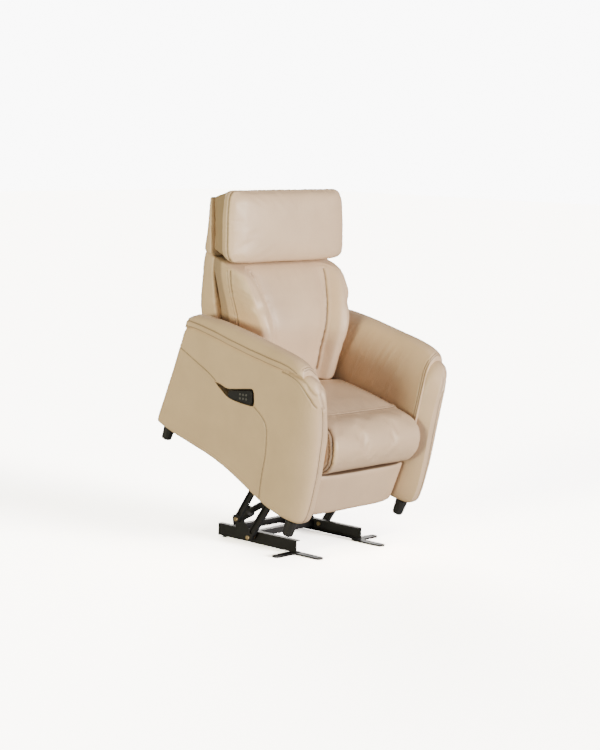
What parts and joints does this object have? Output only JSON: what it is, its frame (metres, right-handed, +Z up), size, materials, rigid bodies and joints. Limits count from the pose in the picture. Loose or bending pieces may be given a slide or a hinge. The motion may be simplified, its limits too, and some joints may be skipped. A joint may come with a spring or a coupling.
{
  "type": "power lift recliner",
  "caption": "Leather power lift recliner raised and tipped forward on a steel linkage, with a reclining back, tilting headrest, fold-out footrest and a handset in its arm pocket",
  "frame": {"origin": "on the floor under the middle of the object's box at rest, the raised pose", "axes": "+Z up, the chair faces -Y, +X is the sitter's left"},
  "size_m": [0.82, 0.905, 1.4229],
  "materials": {
    "beige_leather": "soft satin grain",
    "black_steel": "satin black paint",
    "zinc_steel": "zinc plated",
    "black_plastic": "fine matte",
    "motor_plastic": "fine matte",
    "plain_wood": "raw",
    "dark_lining": "woven",
    "grey_button": "soft rubbery"
  },
  "bodies": {
    "base": {"base_rail_left": "black_steel", "base_rail_right": "black_steel", "base_cross_tube_mid": "black_steel", "base_cross_tube_rear": "black_steel", "rear_pivot_bolt_left": "zinc_steel", "rear_pivot_bolt_right": "zinc_steel", "front_pivot_bolt_left": "zinc_steel", "front_pivot_bolt_right": "zinc_steel"},
    "rear_links": {"rear_lift_link_left": "black_steel", "rear_lift_link_right": "black_steel"},
    "front_links": {"front_lift_link_left": "black_steel", "front_lift_link_right": "black_steel"},
    "lift_housing": {"lift_actuator_housing": "motor_plastic"},
    "lift_rod": {"lift_actuator_rod": "zinc_steel"},
    "chair": {"lift_side_plate_left": "black_steel", "lift_side_plate_right": "black_steel", "lift_cross_tube_front": "black_steel", "lift_cross_tube_rear": "black_steel", "seat_frame": "plain_wood", "seat_springs": "zinc_steel", "seat_cushion": "beige_leather", "arm_left": "beige_leather", "arm_right": "beige_leather", "arm_pad_left": "beige_leather", "arm_pad_right": "beige_leather", "foot_front_left": "black_plastic", "foot_front_right": "black_plastic", "foot_rear_left": "black_plastic", "foot_rear_right": "black_plastic", "handset_pocket_liner": "dark_lining", "control_box": "black_plastic", "recline_actuator_housing": "motor_plastic", "footrest_actuator_housing": "motor_plastic"},
    "back": {"back_frame": "black_steel", "back_torque_tube": "black_steel", "back_shell": "beige_leather", "back_cushion": "beige_leather", "headrest_hinge_rod": "zinc_steel"},
    "headrest": {"headrest_cushion": "beige_leather", "headrest_core": "beige_leather", "headrest_shell": "beige_leather", "headrest_hinge_bracket": "black_steel"},
    "recline_rod": {"recline_actuator_rod": "zinc_steel"},
    "footrest_drive": {"footrest_drive": "black_steel"},
    "footrest_links": {"footrest_link_left": "black_steel", "footrest_link_right": "black_steel"},
    "footrest_panel": {"footrest_board": "plain_wood", "footrest_bracket_left": "black_steel", "footrest_bracket_right": "black_steel", "footrest_pad": "beige_leather"},
    "footrest_rod": {"footrest_actuator_rod": "zinc_steel"},
    "handset": {"handset_shell": "black_plastic"},
    "button_1": {"handset_button_1": "grey_button"},
    "button_2": {"handset_button_2": "grey_button"},
    "button_3": {"handset_button_3": "grey_button"},
    "button_4": {"handset_button_4": "grey_button"},
    "button_5": {"handset_button_5": "grey_button"},
    "button_6": {"handset_button_6": "grey_button"}
  },
  "joints": [
    {"name": "lift", "type": "hinge", "parent": "base", "child": "rear_links", "pos_m": [0, 0.13585, 0.092], "axis": [1, 0, 0], "range_deg": [0, 50.29]},
    {"name": "chair_tilt", "type": "hinge", "parent": "rear_links", "child": "chair", "pos_m": [0, -0.03191, 0.34071], "axis": [1, 0, 0], "range_deg": [-72.46, 0]},
    {"name": "front_link_turn", "type": "hinge", "parent": "base", "child": "front_links", "pos_m": [0, 0.04385, 0.034], "axis": [1, 0, 0], "range_deg": [0, 34.63]},
    {"name": "lift_actuator_swing", "type": "hinge", "parent": "base", "child": "lift_housing", "pos_m": [0, 0.23285, 0.07], "axis": [1, 0, 0], "range_deg": [0, 20.26]},
    {"name": "lift_rod_slide", "type": "slide", "parent": "lift_housing", "child": "lift_rod", "axis": [0, -0.8804, 0.4743], "range_m": [0, 0.0796]},
    {"name": "recline", "type": "hinge", "parent": "chair", "child": "back", "pos_m": [0, 0.08016, 0.57874], "axis": [1, 0, 0], "range_deg": [-35, 0]},
    {"name": "recline_rod_slide", "type": "slide", "parent": "chair", "child": "recline_rod", "axis": [0, 0.8885, 0.4589], "range_m": [-0.0452, 0]},
    {"name": "headrest_tilt", "type": "hinge", "parent": "back", "child": "headrest", "pos_m": [0, 0.15088, 1.14742], "axis": [1, 0, 0], "range_deg": [0, 12]},
    {"name": "footrest", "type": "hinge", "parent": "chair", "child": "footrest_drive", "pos_m": [0, -0.2157, 0.37726], "axis": [1, 0, 0], "range_deg": [-110, 0]},
    {"name": "footrest_knee", "type": "hinge", "parent": "footrest_drive", "child": "footrest_links", "pos_m": [0, -0.09104, 0.26167], "axis": [1, 0, 0], "range_deg": [0, 110]},
    {"name": "footrest_panel_turn", "type": "hinge", "parent": "footrest_links", "child": "footrest_panel", "pos_m": [0, -0.25005, 0.2283], "axis": [1, 0, 0], "range_deg": [-80, 0]},
    {"name": "footrest_rod_slide", "type": "slide", "parent": "chair", "child": "footrest_rod", "axis": [0, -0.931, -0.365], "range_m": [0, 0.0738]},
    {"name": "handset_pull", "type": "slide", "parent": "chair", "child": "handset", "axis": [-1, 0, 0], "range_m": [0, 0.06]},
    {"name": "button_1_press", "type": "slide", "parent": "handset", "child": "button_1", "axis": [1, 0, 0], "range_m": [0, 0.0015], "stiffness_N_per_m": 300},
    {"name": "button_2_press", "type": "slide", "parent": "handset", "child": "button_2", "axis": [1, 0, 0], "range_m": [0, 0.0015], "stiffness_N_per_m": 300},
    {"name": "button_3_press", "type": "slide", "parent": "handset", "child": "button_3", "axis": [1, 0, 0], "range_m": [0, 0.0015], "stiffness_N_per_m": 300},
    {"name": "button_4_press", "type": "slide", "parent": "handset", "child": "button_4", "axis": [1, 0, 0], "range_m": [0, 0.0015], "stiffness_N_per_m": 300},
    {"name": "button_5_press", "type": "slide", "parent": "handset", "child": "button_5", "axis": [1, 0, 0], "range_m": [0, 0.0015], "stiffness_N_per_m": 300},
    {"name": "button_6_press", "type": "slide", "parent": "handset", "child": "button_6", "axis": [1, 0, 0], "range_m": [0, 0.0015], "stiffness_N_per_m": 300}
  ],
  "couplings": [
    {"joint": "chair_tilt", "follows": "lift", "ratio": -1.4406},
    {"joint": "front_link_turn", "follows": "lift", "ratio": 0.68839},
    {"joint": "lift_actuator_swing", "follows": "lift", "ratio": 0.40269},
    {"joint": "lift_rod_slide", "follows": "lift", "m_per_rad": 0.090609},
    {"joint": "recline_rod_slide", "follows": "recline", "m_per_rad": 0.073836},
    {"joint": "footrest_knee", "follows": "footrest", "ratio": -1},
    {"joint": "footrest_panel_turn", "follows": "footrest", "ratio": 0.72727},
    {"joint": "footrest_rod_slide", "follows": "footrest", "m_per_rad": -0.038397}
  ]
}
